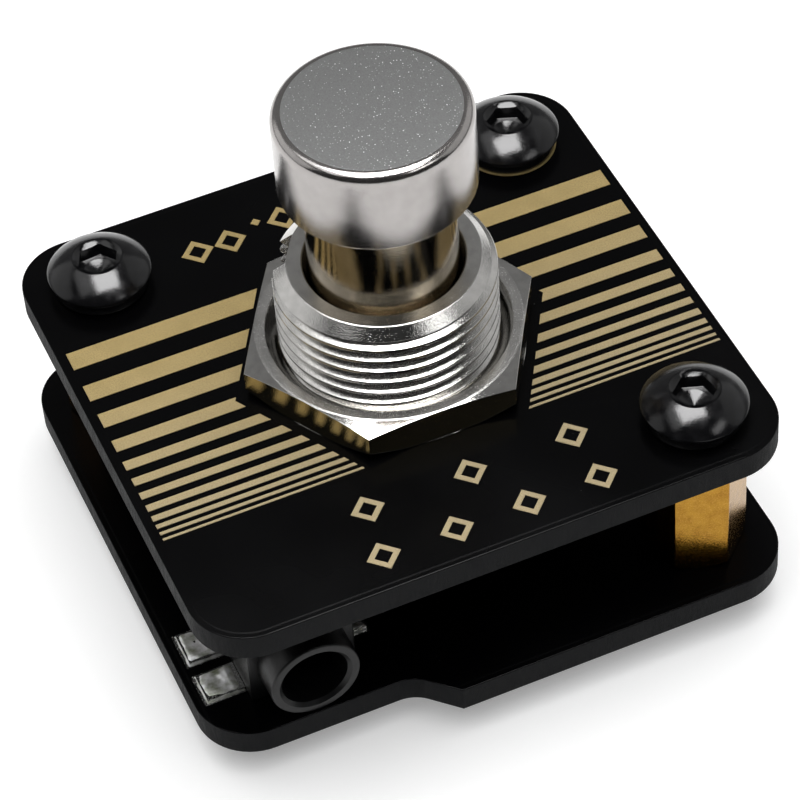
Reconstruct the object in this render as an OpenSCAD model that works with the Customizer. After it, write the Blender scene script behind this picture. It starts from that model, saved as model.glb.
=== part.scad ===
/* [Boards] */
// Width of both boards, left to right
board_w = 33; // [32:0.5:40]
// Depth of the top board, front to back
top_board_d = 31; // [30:0.5:38]
// Depth of the bottom board at its full edge
bottom_board_d = 31.9; // [31:0.1:39]
// Thickness of each board
board_t = 1.6; // [1.2:0.2:2]
// Radius of the board corners
corner_r = 3.2; // [2:0.1:4]
// Clear height between the boards, which is the standoff length
gap = 8; // [8:0.5:12]
// Setback of the bottom board's front edge in front of the jack
jack_setback = 2; // [1:0.1:2.5]
// Radius of the hollow where the setback ends
setback_r = 2; // [1:0.1:3]
// X position of the sharp corner where the full front edge begins
setback_corner_x = -3.4; // [-5:0.1:0]

/* [Fasteners] */
// Screw position left and right of the middle
screw_x = 12.3; // [11:0.1:13]
// Screw position in front of and behind the middle
screw_y = 11.6; // [10:0.1:12]
// Nominal screw thread diameter
screw_d = 3; // [2.5:0.5:3]
// Button head diameter
head_d = 5.75; // [5:0.05:6]
// Button head height
head_h = 1.95; // [1.4:0.05:2]
// Socket width across flats
socket_af = 2; // [1.5:0.5:2]
// Length of the screws under the head
screw_l = 5; // [4:0.5:5]
// Standoff width across flats
standoff_af = 5; // [4.5:0.5:5.5]
// Turn of the standoffs about their own axis
standoff_turn = -16.7; // [-30:0.1:30]

/* [Push button] */
// Major diameter of the bush thread
thread_d = 11.9; // [11.8:0.05:12]
// Thread pitch
pitch = 0.79; // [0.5:0.01:1]
// Height of the bush above the top board
bush_h = 6.85; // [5:0.05:9]
// Plunger diameter
plunger_d = 8; // [7:0.1:8]
// Cap diameter
cap_d = 10.4; // [9:0.1:12]
// Height of the cap alone
cap_h = 4.95; // [4:0.05:7]
// Free plunger length between the bush and the cap
plunger_show = 5.55; // [4:0.05:8]
// Travel of the button
travel = 2.4; // [1:0.1:2.4]
// Nut width across flats
nut_af = 14.3; // [14:0.1:15]
// Nut thickness
nut_h = 2; // [1.5:0.1:3]
// Turn of the nut about the bush
nut_turn = -0.8; // [-30:0.1:30]
// Width of the key groove along the bush
key_w = 2.2; // [1:0.1:2.5]
// Direction of the key groove
key_turn = 147; // [0:1:359]
// Width of the square switch housing
housing_w = 13; // [12.5:0.1:13]

/* [Jack] */
// X position of the jack's axis
jack_x = -10.65; // [-11:0.05:-10.6]
// Width of the jack body
jack_w = 6; // [5.5:0.1:6]
// Height of the jack body
jack_h = 5; // [5:0.1:6]
// Length of the jack body without its collar
jack_l = 10; // [8:0.5:10]
// Length of the round collar
collar_l = 2; // [1:0.1:3]
// Collar diameter
collar_d = 5; // [4.5:0.1:5]
// Bore that takes the plug
plug_bore_d = 3.7; // [3.6:0.05:3.8]

/* [Gold print] */
// Length of the printed bars
bar_l = 31.9; // [28:0.1:32]
// Back edge of the widest bar, measured from the middle
bars_back_y = 7.26; // [6:0.02:9]
// Margin kept clear of bars around the nut
nut_margin = 0.65; // [0.2:0.05:2]
// Line width of the small lozenges
mark_line = 0.3; // [0.15:0.05:0.4]

/* [Feet] */
// Foot diameter
foot_d = 7; // [5:0.5:7]
// Foot height
foot_h = 2.3; // [2:0.1:4]
// Foot position left and right of the middle
foot_x = 12.3; // [11:0.1:12.5]
// Foot position in front of and behind the middle
foot_y = 4.6; // [4.4:0.1:5]

/* [Hidden] */
$fn = 64;
thin = 0.01;

// Heights above the surface the key stands on
board1_z = foot_h;
board1_top = board1_z + board_t;
board2_z = board1_top + gap;
board2_top = board2_z + board_t;
bush_top = board2_top + bush_h;
cap_z = bush_top + plunger_show;
cap_top = cap_z + cap_h;

// Where the boards are screwed together: the front left corner holds the jack instead
screw_places = [[-screw_x, screw_y], [screw_x, screw_y], [screw_x, -screw_y]];
foot_places = [[-foot_x, -foot_y], [foot_x, -foot_y], [-foot_x, foot_y], [foot_x, foot_y]];
screw_hole_r = screw_d / 2 + 0.1;
shank_r = screw_d / 2 - 0.04;
head_base_r = head_d / 2 - 0.25;
print_t = 0.04;

// Printed bars, from the widest at the back to the finest in front
bar_widths = [1.3, 1.2, 1.05, 0.85, 0.65, 0.55, 0.48, 0.46, 0.38, 0.28, 0.2, 0.15];
bar_gaps = [1.35, 1.07, 1.06, 0.81, 0.65, 0.56, 0.47, 0.37, 0.27, 0.28, 0.26];
function sum_to(list, n, i = 0) = i >= n ? 0 : list[i] + sum_to(list, n, i + 1);

// Lozenge places: two rows in front of the nut and one behind it
mark_r = 0.95;
front_marks = [for (i = [0:3]) [-6.2 + 4.08 * i, -13.35]];
second_marks = [for (i = [0:2]) [-5.7 + 5.8 * i, -10.1]];
back_marks = [[-6.7, 11.35], [-4.75, 11.35], [-1.45, 11.75]];
back_dot = [-2.95, 12.1];

// Push button
thread_r = thread_d / 2;
thread_depth = 0.42;
crest = 0.1;
bush_bore_r = plunger_d / 2 + 0.05;
bush_mouth_r = bush_bore_r + 0.25;
bush_mouth_h = 1.5;
key_floor_r = 5.08;
bush_rim_r = 5.15;
bush_bevel = 0.7;
flange_r = 6.4;
flange_h = 1.2;
flange_z = board2_z - flange_h;
housing_wall = 1;
housing_roof = 0.8;
base_t = 0.9;
base_z = board1_top + 0.2;
base_top = base_z + base_t;
clip_h = 0.5;
clip_z = flange_z - clip_h - 0.02;
clip_r = 4.95;
clip_bore_r = 3.45;
groove_h = clip_h + 0.05;
groove_z = flange_z - groove_h;
groove_r = plunger_d / 2 - 0.6;
carrier_h = 1.2;
carrier_r = 5;
stub_r = 3;
land_h = 0.5;
plunger_z = groove_z - land_h - carrier_h;
spring_bore_r = 2.4;
spring_top = plunger_z + 8.5;
ring_t = 0.3;
ring_r = 4.9;
ring_bore_r = 3.2;
contact_top = plunger_z - ring_t - travel - 0.05;
terminal_x = 4.1;
terminal_w = 1.6;
terminal_t = 0.5;
terminal_z = board1_z - 0.9;
post_r = 1.3;
post_h = 1.5;

// Return spring
wire_d = 0.35;
coil_r = 1.9;
coil_turns = 9;
spring_z = base_top + 0.03;
spring_l = spring_top - 0.03 - spring_z;
coil_pitch = (spring_l - wire_d) / coil_turns;

// Nut
nut_corner_r = nut_af / 2 / cos(30);
nut_bore_r = thread_r + 0.03;

// Jack
jack_axis_z = board1_top + jack_h / 2;
jack_mouth_y = -13.8;
jack_front_y = jack_mouth_y + collar_l;
jack_back_y = jack_front_y + jack_l;
bore_wall_l = 3.5;
chamber_r = plug_bore_d / 2 + 0.25;
chamber_l = jack_l + collar_l - 1.2;
strip_t = 0.2;
peg_r = 0.6;
peg_l = 1.2;
peg_ys = [jack_front_y + 2, jack_back_y - 1.5];
// Contact strips: side of the body (-1 is left), middle in Y, width, length of the tab
sleeve_strip = [-1, -9.93, 1.85, 2.15];
tip_strip = [-1, -7.05, 2.1, 2.1];
ring_strip = [1, -9.1, 1.6, 1.3];
jack_strips = [sleeve_strip, tip_strip, ring_strip];

module rounded_plate(w, d, r) {
    square([w, d - 2 * r], center = true);
    square([w - 2 * r, d], center = true);
    for (x = [-1, 1], y = [-1, 1])
        translate([x * (w / 2 - r), y * (d / 2 - r)]) circle(r);
}

// Outline of the bottom board: the front edge steps back on the jack's side, with
// a hollow curve that runs out at 45 degrees to a sharp corner on the full edge
module bottom_outline() {
    front = -bottom_board_d / 2;
    back_edge = front + jack_setback;
    slope_x = setback_corner_x - jack_setback;
    tangent = setback_r * tan(22.5);
    translate([0, jack_setback / 2])
        rounded_plate(board_w, bottom_board_d - jack_setback, corner_r);
    intersection() {
        rounded_plate(board_w, bottom_board_d, corner_r);
        polygon([
            [slope_x, back_edge], [setback_corner_x, front], [board_w, front],
            [board_w, 0], [slope_x, 0]
        ]);
    }
    difference() {
        polygon([
            [slope_x - tangent, back_edge], [slope_x, back_edge + 1], [slope_x, back_edge],
            [slope_x + tangent * cos(45), back_edge - tangent * sin(45)],
            [slope_x + tangent, back_edge], [slope_x - tangent, back_edge + 1]
        ]);
        translate([slope_x - tangent, back_edge - setback_r]) circle(setback_r);
    }
}

module screw_holes(z, h) {
    for (p = screw_places)
        translate([p[0], p[1], z - 1]) cylinder(r = screw_hole_r, h = h + 2);
}

module top_board() {
    color([0.03, 0.03, 0.035]) difference() {
        translate([0, 0, board2_z]) linear_extrude(board_t)
            rounded_plate(board_w, top_board_d, corner_r);
        screw_holes(board2_z, board_t);
        translate([0, 0, board2_z - 1]) cylinder(r = thread_r + 0.15, h = board_t + 2, $fn = 96);
    }
}

module bottom_board() {
    color([0.03, 0.03, 0.035]) difference() {
        translate([0, 0, board1_z]) linear_extrude(board_t) bottom_outline();
        screw_holes(board1_z, board_t);
        for (y = peg_ys)
            translate([jack_x, y, board1_z - 1]) cylinder(r = peg_r + 0.05, h = board_t + 2);
        for (x = [-terminal_x, terminal_x])
            translate([x, 0, board1_z + board_t / 2])
                cube([terminal_w + 0.4, terminal_t + 0.4, board_t + 2], center = true);
    }
}

module gold_bars() {
    keep_r = (nut_af / 2 + nut_margin) / cos(30);
    color([0.78, 0.66, 0.4]) translate([0, 0, board2_top]) linear_extrude(print_t)
        difference() {
            for (i = [0:len(bar_widths) - 1]) {
                back = bars_back_y - sum_to(bar_widths, i) - sum_to(bar_gaps, i);
                translate([-bar_l / 2, back - bar_widths[i]]) square([bar_l, bar_widths[i]]);
            }
            circle(keep_r, $fn = 6);
            for (p = screw_places) translate(p) circle(head_d / 2 + 0.3);
        }
}

module lozenge() {
    difference() {
        circle(mark_r, $fn = 4);
        circle(mark_r - mark_line * sqrt(2), $fn = 4);
    }
}

module gold_marks() {
    color([0.78, 0.66, 0.4]) translate([0, 0, board2_top]) linear_extrude(print_t) {
        for (p = concat(front_marks, second_marks, back_marks)) translate(p) lozenge();
        translate(back_dot) circle(mark_line, $fn = 4);
    }
}

// Rings of bare gold under the heads; only the back right one shows round its head
module screw_pads() {
    pad_r = [head_base_r - 0.1, head_base_r + 0.08, head_base_r - 0.1];
    color([0.78, 0.66, 0.4]) for (i = [0:2])
        translate([screw_places[i][0], screw_places[i][1], board2_top]) difference() {
            cylinder(r = pad_r[i], h = print_t);
            translate([0, 0, -1]) cylinder(r = screw_hole_r, h = 2);
        }
}

// One button head screw, its head standing on z = 0 and its shank below
module button_screw() {
    flat_r = 1.42;
    edge_h = 0.98;
    head_r = head_d / 2;
    dome_z = (pow(flat_r, 2) + pow(head_h, 2) - pow(head_r, 2) - pow(edge_h, 2)) / 2 / (head_h - edge_h);
    dome_r = sqrt(pow(head_r, 2) + pow(edge_h - dome_z, 2));
    difference() {
        union() {
            intersection() {
                translate([0, 0, dome_z]) sphere(dome_r, $fn = 96);
                rotate_extrude() polygon([
                    [0, 0], [head_base_r, 0], [head_r, edge_h - 0.1], [head_r, head_h], [0, head_h]
                ]);
            }
            translate([0, 0, -screw_l]) cylinder(r = shank_r, h = screw_l + thin);
        }
        translate([0, 0, head_h - 1.05]) cylinder(d = socket_af / cos(30), h = 2, $fn = 6);
        translate([0, 0, head_h - 0.15])
            cylinder(r1 = socket_af / 2 + 0.08, r2 = socket_af / 2 + 0.3, h = 0.2);
    }
}

module top_screws() {
    turns = [6, 38, 40];
    color([0.07, 0.07, 0.075]) for (i = [0:2])
        translate([screw_places[i][0], screw_places[i][1], board2_top + print_t])
            rotate([0, 0, turns[i]]) button_screw();
}

module bottom_screws() {
    color([0.07, 0.07, 0.075]) for (p = screw_places)
        translate([p[0], p[1], board1_z]) mirror([0, 0, 1]) button_screw();
}

module standoffs() {
    end_r = 2.38;
    side_r = standoff_af / 2 / cos(30);
    bevel = 0.3;
    color([0.8, 0.6, 0.25]) for (p = screw_places)
        translate([p[0], p[1], board1_top]) rotate([0, 0, standoff_turn]) difference() {
            intersection() {
                cylinder(r = side_r, h = gap, $fn = 6);
                rotate_extrude() polygon([
                    [0, 0], [end_r, 0], [side_r, bevel], [side_r, gap - bevel], [end_r, gap], [0, gap]
                ]);
            }
            translate([0, 0, -1]) cylinder(d = screw_d, h = gap + 2);
        }
}

module feet() {
    r = foot_d / 2;
    color([0.05, 0.05, 0.05]) for (p = foot_places) translate(p) rotate_extrude()
        polygon([[0, 0], [r - 0.9, 0], [r - 0.35, 0.3], [r, 0.9], [r, foot_h], [0, foot_h]]);
}

// Threaded bush with its flange under the top board, a counterbored mouth and a key groove
module bush() {
    thread_end = bush_top - bush_bevel;
    n = floor((thread_end - board2_z - 0.2) / pitch);
    root_r = thread_r - thread_depth;
    teeth = [for (i = [0:n - 1], k = [0:3])
        [k < 2 ? thread_r : root_r,
         thread_end - i * pitch - [0, crest, pitch / 2 - crest / 2, pitch / 2 + crest / 2][k]]];
    color([0.75, 0.75, 0.76]) difference() {
        rotate_extrude($fn = 96) polygon(concat(
            [[bush_mouth_r, bush_top], [bush_rim_r, bush_top]],
            teeth,
            [[root_r, board2_z], [flange_r, board2_z], [flange_r, flange_z],
             [bush_bore_r, flange_z], [bush_bore_r, bush_top - bush_mouth_h],
             [bush_mouth_r, bush_top - bush_mouth_h]]
        ));
        rotate([0, 0, key_turn]) translate([key_floor_r, -key_w / 2, board2_z + 0.2])
            cube([thread_r, key_w, thread_end + 1 - board2_z]);
    }
}

// Hexagon nut, bevelled 15 degrees above and 30 degrees below, with a chamfered bore
module bush_nut() {
    top_r = nut_af / 2 - 0.1;
    low_r = nut_af / 2 + 0.15;
    top_bevel = (nut_corner_r - top_r) * tan(15);
    low_bevel = (nut_corner_r - low_r) * tan(30);
    mouth = 0.55;
    color([0.78, 0.78, 0.79]) translate([0, 0, board2_top]) rotate([0, 0, nut_turn]) difference() {
        intersection() {
            cylinder(r = nut_corner_r, h = nut_h, $fn = 6);
            rotate_extrude($fn = 96) polygon([
                [0, 0], [low_r, 0], [nut_corner_r, low_bevel],
                [nut_corner_r, nut_h - top_bevel], [top_r, nut_h], [0, nut_h]
            ]);
        }
        translate([0, 0, -1]) cylinder(r = nut_bore_r, h = nut_h + 2, $fn = 96);
        translate([0, 0, nut_h - mouth])
            cylinder(r1 = nut_bore_r, r2 = nut_bore_r + mouth * 1.2, h = mouth + thin, $fn = 96);
    }
}

module switch_housing() {
    inner = housing_w - 2 * housing_wall;
    color([0.06, 0.06, 0.06]) difference() {
        translate([0, 0, base_top]) linear_extrude(flange_z - base_top)
            rounded_plate(housing_w, housing_w, 1);
        translate([-inner / 2, -inner / 2, base_top - 1])
            cube([inner, inner, flange_z - housing_roof - base_top + 1]);
        translate([0, 0, base_top]) cylinder(r = clip_r + 0.35, h = gap);
    }
}

module switch_base() {
    color([0.45, 0.28, 0.16]) difference() {
        union() {
            translate([0, 0, base_z]) linear_extrude(base_t) rounded_plate(housing_w, housing_w, 1);
            translate([0, 0, base_top - thin]) cylinder(r = post_r, h = post_h);
        }
        for (x = [-terminal_x, terminal_x])
            translate([x, 0, base_z])
                cube([terminal_w + 0.1, terminal_t + 0.1, 3 * base_t], center = true);
    }
}

module terminals() {
    color([0.8, 0.8, 0.78]) for (x = [-terminal_x, terminal_x]) translate([x, 0, 0]) {
        translate([0, 0, base_top]) cylinder(r1 = 1.1, r2 = 0.8, h = contact_top - base_top);
        translate([-terminal_w / 2, -terminal_t / 2, terminal_z])
            cube([terminal_w, terminal_t, base_top - terminal_z + thin]);
    }
}

module terminal_solder() {
    h = 0.8;
    color([0.7, 0.71, 0.72]) for (x = [-terminal_x, terminal_x]) difference() {
        translate([x, 0, board1_z - h]) cylinder(r1 = 1, r2 = 1.6, h = h);
        translate([x, 0, board1_z])
            cube([terminal_w + 0.02, terminal_t + 0.02, 4], center = true);
    }
}

// Hollow plunger: stub into the cap, guide, clip groove, land, stub for the carrier
module plunger() {
    r = plunger_d / 2;
    cap_stub_h = 3;
    color([0.82, 0.82, 0.83]) rotate_extrude($fn = 96) polygon([
        [spring_bore_r, plunger_z], [stub_r, plunger_z], [stub_r, plunger_z + carrier_h],
        [r, plunger_z + carrier_h], [r, groove_z], [groove_r, groove_z],
        [groove_r, flange_z], [r, flange_z], [r, cap_z], [stub_r, cap_z],
        [stub_r, cap_z + cap_stub_h], [0, cap_z + cap_stub_h], [0, spring_top],
        [spring_bore_r, spring_top]
    ]);
}

module button_cap() {
    round_r = 0.58;
    r = cap_d / 2;
    color([0.8, 0.8, 0.8]) translate([0, 0, cap_z]) difference() {
        rotate_extrude($fn = 96) {
            translate([0, 0.15]) square([r, cap_h - round_r - 0.15]);
            square([r - 0.15, cap_h - round_r]);
            square([r - round_r, cap_h]);
            intersection() {
                translate([r - round_r, cap_h - round_r]) circle(round_r, $fn = 48);
                square([r, cap_h]);
            }
        }
        translate([0, 0, -1]) cylinder(r = stub_r + 0.02, h = 4.02);
    }
}

// Split ring that stops the plunger under the bush
module retaining_clip() {
    color([0.5, 0.5, 0.5]) translate([0, 0, clip_z]) difference() {
        cylinder(r = clip_r, h = clip_h);
        translate([0, 0, -1]) cylinder(r = clip_bore_r, h = 2);
        translate([-1.6, 0, -1]) cube([3.2, clip_r + 1, 3]);
    }
}

module contact_carrier() {
    color([0.9, 0.9, 0.86]) translate([0, 0, plunger_z]) difference() {
        cylinder(r = carrier_r, h = carrier_h - 0.01);
        translate([0, 0, -1]) cylinder(r = stub_r + 0.01, h = 4);
    }
}

module contact_ring() {
    color([0.8, 0.5, 0.3]) translate([0, 0, plunger_z - ring_t]) difference() {
        cylinder(r = ring_r, h = ring_t);
        translate([0, 0, -1]) cylinder(r = ring_bore_r, h = 2);
    }
}

// Helical spring: rings of the round wire, one every 18 degrees along the coil
module return_spring() {
    sides = 8;
    per_turn = 20;
    rings = per_turn * coil_turns;
    slope = atan(coil_pitch / (2 * PI * coil_r));
    function ring_point(i, k) = let (a = 360 * i / per_turn, b = 360 * k / sides)
        let (r = coil_r + wire_d / 2 * cos(b), up = wire_d / 2 * sin(b))
        [
            r * cos(a) + up * sin(slope) * sin(a),
            r * sin(a) - up * sin(slope) * cos(a),
            wire_d / 2 + coil_pitch * i / per_turn + up * cos(slope)
        ];
    color([0.7, 0.7, 0.7]) translate([0, 0, spring_z]) polyhedron(
        points = [for (i = [0:rings], k = [0:sides - 1]) ring_point(i, k)],
        faces = concat(
            [[for (k = [0:sides - 1]) k]],
            [for (i = [0:rings - 1], k = [0:sides - 1]) let (n = (k + 1) % sides)
                [i * sides + k, (i + 1) * sides + k, (i + 1) * sides + n, i * sides + n]],
            [[for (k = [0:sides - 1]) rings * sides + sides - 1 - k]]
        )
    );
}

module jack_pocket(strip) {
    side = strip[0];
    x_in = jack_w / 2 - 0.45;
    w = strip[2] + 0.1;
    translate([jack_x, strip[1] - w / 2, board1_top]) {
        translate([side > 0 ? 1.2 : -x_in, 0, 0.35]) cube([x_in - 1.2, w, jack_h / 2 + 0.85]);
        translate([side > 0 ? x_in - 0.5 : -jack_w, 0, -thin])
            cube([jack_w - x_in + 0.5, w, strip_t + 0.17]);
        translate([side > 0 ? x_in - 0.5 : -x_in, 0, -thin]) cube([0.5, w, 1]);
    }
}

module jack_body() {
    color([0.05, 0.05, 0.052]) difference() {
        union() {
            translate([jack_x - jack_w / 2, jack_front_y, board1_top]) cube([jack_w, jack_l, jack_h]);
            translate([jack_x, jack_mouth_y, jack_axis_z]) rotate([-90, 0, 0])
                cylinder(d = collar_d, h = collar_l + 1);
            for (y = peg_ys)
                translate([jack_x, y, board1_top - peg_l]) cylinder(r = peg_r, h = peg_l + 0.3);
        }
        translate([jack_x, jack_mouth_y - 1, jack_axis_z]) rotate([-90, 0, 0])
            cylinder(d = plug_bore_d, h = bore_wall_l + 1.01);
        translate([jack_x, jack_mouth_y + bore_wall_l, jack_axis_z]) rotate([-90, 0, 0])
            cylinder(r = chamber_r, h = chamber_l - bore_wall_l);
        for (s = jack_strips) jack_pocket(s);
    }
}

// Bent strip: solder tab outside the body, riser and bowed arm beside the plug bore
module contact_strip(strip) {
    out = jack_w / 2 + strip[3];
    x_in = jack_w / 2 - 0.5;
    bow_x = plug_bore_d / 2 - 0.1;
    z_bow = jack_h / 2;
    translate([jack_x, strip[1], board1_top + print_t]) scale([strip[0], 1, 1]) rotate([90, 0, 0])
        linear_extrude(strip[2], center = true) polygon([
            [out, 0], [x_in - strip_t, 0], [x_in - strip_t, 1], [bow_x, z_bow],
            [x_in - strip_t, z_bow + 0.9], [x_in, z_bow + 0.9], [bow_x + strip_t * 1.4, z_bow],
            [x_in, 1], [x_in, strip_t], [out, strip_t]
        ]);
}

module jack_tip_spring() {
    color([0.8, 0.8, 0.8]) contact_strip(tip_strip);
}

module jack_ring_spring() {
    color([0.8, 0.8, 0.8]) contact_strip(ring_strip);
}

module jack_sleeve_contact() {
    color([0.8, 0.8, 0.8]) contact_strip(sleeve_strip);
}

module jack_pads() {
    color([0.85, 0.85, 0.83]) for (s = jack_strips)
        translate([jack_x + s[0] * (jack_w / 2 + s[3] / 2 + 0.1), s[1], board1_top + print_t / 2])
            cube([s[3] + 0.2, s[2] + 0.3, print_t], center = true);
}

// Low mound of solder over each tab
module jack_solder() {
    h = 0.35;
    color([0.72, 0.73, 0.74]) for (s = jack_strips)
        translate([jack_x, s[1], board1_top + print_t + strip_t]) scale([s[0], 1, 1])
            rotate([90, 0, 0]) linear_extrude(s[2] - 0.2, center = true) polygon([
                [jack_w / 2 + 0.1, 0], [jack_w / 2 + 0.25, h], [jack_w / 2 + s[3] * 0.6, h * 0.7],
                [jack_w / 2 + s[3] - 0.1, 0]
            ]);
}

top_board();
bottom_board();
gold_bars();
gold_marks();
screw_pads();
top_screws();
bottom_screws();
standoffs();
feet();
bush();
bush_nut();
switch_housing();
switch_base();
terminals();
terminal_solder();
plunger();
button_cap();
retaining_clip();
contact_carrier();
contact_ring();
return_spring();
jack_body();
jack_tip_spring();
jack_ring_spring();
jack_sleeve_contact();
jack_pads();
jack_solder();
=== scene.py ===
"""Looks of the push-button morse key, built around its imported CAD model.

Shapes are made in millimetres by the helpers below and turned into metres as they are
placed. Places come from the CAD nodes' boxes.
"""

import math

import bmesh
import bpy
from mathutils import Matrix, Vector, noise


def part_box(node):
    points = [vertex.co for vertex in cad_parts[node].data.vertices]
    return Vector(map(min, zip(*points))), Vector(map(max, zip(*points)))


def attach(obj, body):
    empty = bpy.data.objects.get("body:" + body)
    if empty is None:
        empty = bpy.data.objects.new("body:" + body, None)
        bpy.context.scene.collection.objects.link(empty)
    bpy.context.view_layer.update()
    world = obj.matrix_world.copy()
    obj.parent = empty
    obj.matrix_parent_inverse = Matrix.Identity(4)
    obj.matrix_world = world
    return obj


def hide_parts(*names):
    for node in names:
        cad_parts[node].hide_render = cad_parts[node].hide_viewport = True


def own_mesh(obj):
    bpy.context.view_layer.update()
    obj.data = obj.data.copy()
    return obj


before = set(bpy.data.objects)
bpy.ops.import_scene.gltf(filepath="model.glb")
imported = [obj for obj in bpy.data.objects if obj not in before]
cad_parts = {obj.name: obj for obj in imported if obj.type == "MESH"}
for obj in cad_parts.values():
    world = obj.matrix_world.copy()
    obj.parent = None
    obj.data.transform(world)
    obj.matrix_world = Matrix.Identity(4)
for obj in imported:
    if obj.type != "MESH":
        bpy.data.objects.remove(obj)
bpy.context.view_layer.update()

MM = 0.001
TAU = 2 * math.pi
MERGE = 1e-5


# ---------------------------------------------------------------- sizes, millimetres


def box(node):
    """Lowest and highest corner of a CAD node, in millimetres."""
    low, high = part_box(node)
    return low / MM, high / MM


top_low, top_high = box("top_board")
bottom_low, bottom_high = box("bottom_board")
bush_low, bush_high = box("bush")
nut_low, nut_high = box("bush_nut")
cap_low, cap_high = box("button_cap")
plunger_low, plunger_high = box("plunger")
jack_low, jack_high = box("jack_body")
screws_low, screws_high = box("top_screws")
under_low, under_high = box("bottom_screws")
standoffs_low, standoffs_high = box("standoffs")
feet_low, feet_high = box("feet")
housing_low, housing_high = box("switch_housing")
spring_low, spring_high = box("return_spring")

BOARD_W = top_high.x - top_low.x
TOP_D = top_high.y - top_low.y
BOTTOM_D = bottom_high.y - bottom_low.y
CORNER_R = 3.2
SETBACK = 2.0
SETBACK_R = 2.0
SETBACK_CORNER_X = -3.4

HEAD_R = 2.875
HEAD_H = 1.95
HEAD_BASE_R = 2.625
HEAD_RIM_Z = 0.98
HEAD_FLAT_R = 1.42
SOCKET_AF = 2.0
SCREW_TURNS = (6, 38, 40)
SHANK_R = 1.46
SCREW_HOLE_R = 1.6
SCREW_X = screws_high.x - HEAD_R
SCREW_Y = screws_high.y - HEAD_R
SCREW_PLACES = ((-SCREW_X, SCREW_Y), (SCREW_X, SCREW_Y), (SCREW_X, -SCREW_Y))

THREAD_R = 5.95
THREAD_DEPTH = 0.42
PITCH = 0.79
THREAD_Z = 19.34
# (turn, height) over one pitch: flat crest, upper flank, root, lower flank
THREAD_FORM = (
    (0, 1), (0.14, 1), (0.18, 0.93), (0.4, 0.07), (0.43, 0), (0.46, 0), (0.51, 0.07), (0.94, 0.93), (1, 1)
)
BORE_R = 4.05
MOUTH_R = 4.3
MOUTH_H = 0.55
RIM_R = 5.15
RIM_BEVEL = 0.7
FLANGE_H = 1.2
KEY_W = 2.2
KEY_FLOOR_R = 5.08
KEY_TURN = math.radians(147)
NUT_TURN = math.radians(-0.8)
PLUNGER_R = 4.0
STUB_R = 3.0
CAP_R = (cap_high.x - cap_low.x) / 2
CAP_LIP = 0.58
NUT_AF = nut_high.y - nut_low.y

WIRE_D = 0.35
COIL_TURNS = 9
TERMINAL_X = 4.1
BOARD_BEVEL = 0.06
STANDOFF_AF = 5.0
STANDOFF_TURN = math.radians(-16.7)
FOOT_R = 3.5

JACK_X = (jack_low.x + jack_high.x) / 2
JACK_W = jack_high.x - jack_low.x
JACK_H = 5.0
JACK_Z = bottom_high.z + JACK_H / 2
COLLAR_L = 2.0
COLLAR_R = 2.5
PLUG_R = 1.85


# ---------------------------------------------------------------- mesh helpers


def finish_mesh(mesh, name, smooth_angle=30):
    """Turns a millimetre mesh into a smooth-shaded metre object with crisp edges."""
    mesh.transform(Matrix.Scale(MM, 4))
    mesh.shade_smooth()
    mesh.set_sharp_from_angle(angle=math.radians(smooth_angle))
    obj = bpy.data.objects.new(name, mesh)
    bpy.context.scene.collection.objects.link(obj)
    flat = obj.modifiers.new("weighted_normals", "WEIGHTED_NORMAL")
    flat.keep_sharp = True
    flat.weight = 100
    return obj


def mesh_from(verts, faces):
    """Closed mesh from points and faces, with doubles merged and normals outward."""
    bm = bmesh.new()
    points = [bm.verts.new(v) for v in verts]
    for f in faces:
        bm.faces.new([points[i] for i in f])
    bmesh.ops.remove_doubles(bm, verts=bm.verts, dist=MERGE)
    bmesh.ops.dissolve_degenerate(bm, edges=bm.edges, dist=MERGE)
    bmesh.ops.recalc_face_normals(bm, faces=bm.faces)
    mesh = bpy.data.meshes.new("part")
    bm.to_mesh(mesh)
    bm.free()
    return mesh


def loft(loops, ring=False):
    """Skin through loops of equal length. A ring joins the last loop to the first;
    otherwise both ends are closed with a fan."""
    n = len(loops[0])
    verts = [p for loop in loops for p in loop]
    count = len(loops)
    faces = []
    for a in range(count if ring else count - 1):
        b = (a + 1) % count
        for i in range(n):
            j = (i + 1) % n
            faces.append((a * n + i, a * n + j, b * n + j, b * n + i))
    if not ring:
        for a in (0, count - 1):
            loop = [Vector(p) for p in loops[a]]
            centre = sum(loop, Vector()) / n
            verts.append(centre)
            hub = len(verts) - 1
            faces += [(a * n + i, a * n + (i + 1) % n, hub) for i in range(n)]
    return mesh_from(verts, faces)


def circle(r, z, n=96):
    """Loop of n points on a circle."""
    angles = [TAU * i / n for i in range(n)]
    return [(r * math.cos(a), r * math.sin(a), z) for a in angles]


def hexagon(across_flats, z, n=96):
    """Loop of n points on a hexagon; z is a number or a function of the radius."""
    loop = []
    for i in range(n):
        a = TAU * i / n
        part = a % (math.pi / 3) - math.pi / 6
        r = across_flats / 2 / math.cos(part)
        height = z(r) if callable(z) else z
        loop.append((r * math.cos(a), r * math.sin(a), height))
    return loop


def lathe(profile, n=128):
    """Solid of revolution from (radius, height) pairs. A profile that starts and ends
    on the axis is closed there; any other is a ring."""
    closed = profile[0][0] == 0
    if closed:
        profile = profile[1:-1] if profile[-1][0] == 0 else profile[1:]
    return loft([circle(r, z, n) for r, z in profile], ring=not closed)


def arc(cx, cz, r, start, end, steps=8):
    """Points of an arc in a profile, angles in degrees."""
    return [
        (
            cx + r * math.cos(math.radians(start + (end - start) * i / steps)),
            cz + r * math.sin(math.radians(start + (end - start) * i / steps)),
        )
        for i in range(steps + 1)
    ]


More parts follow.
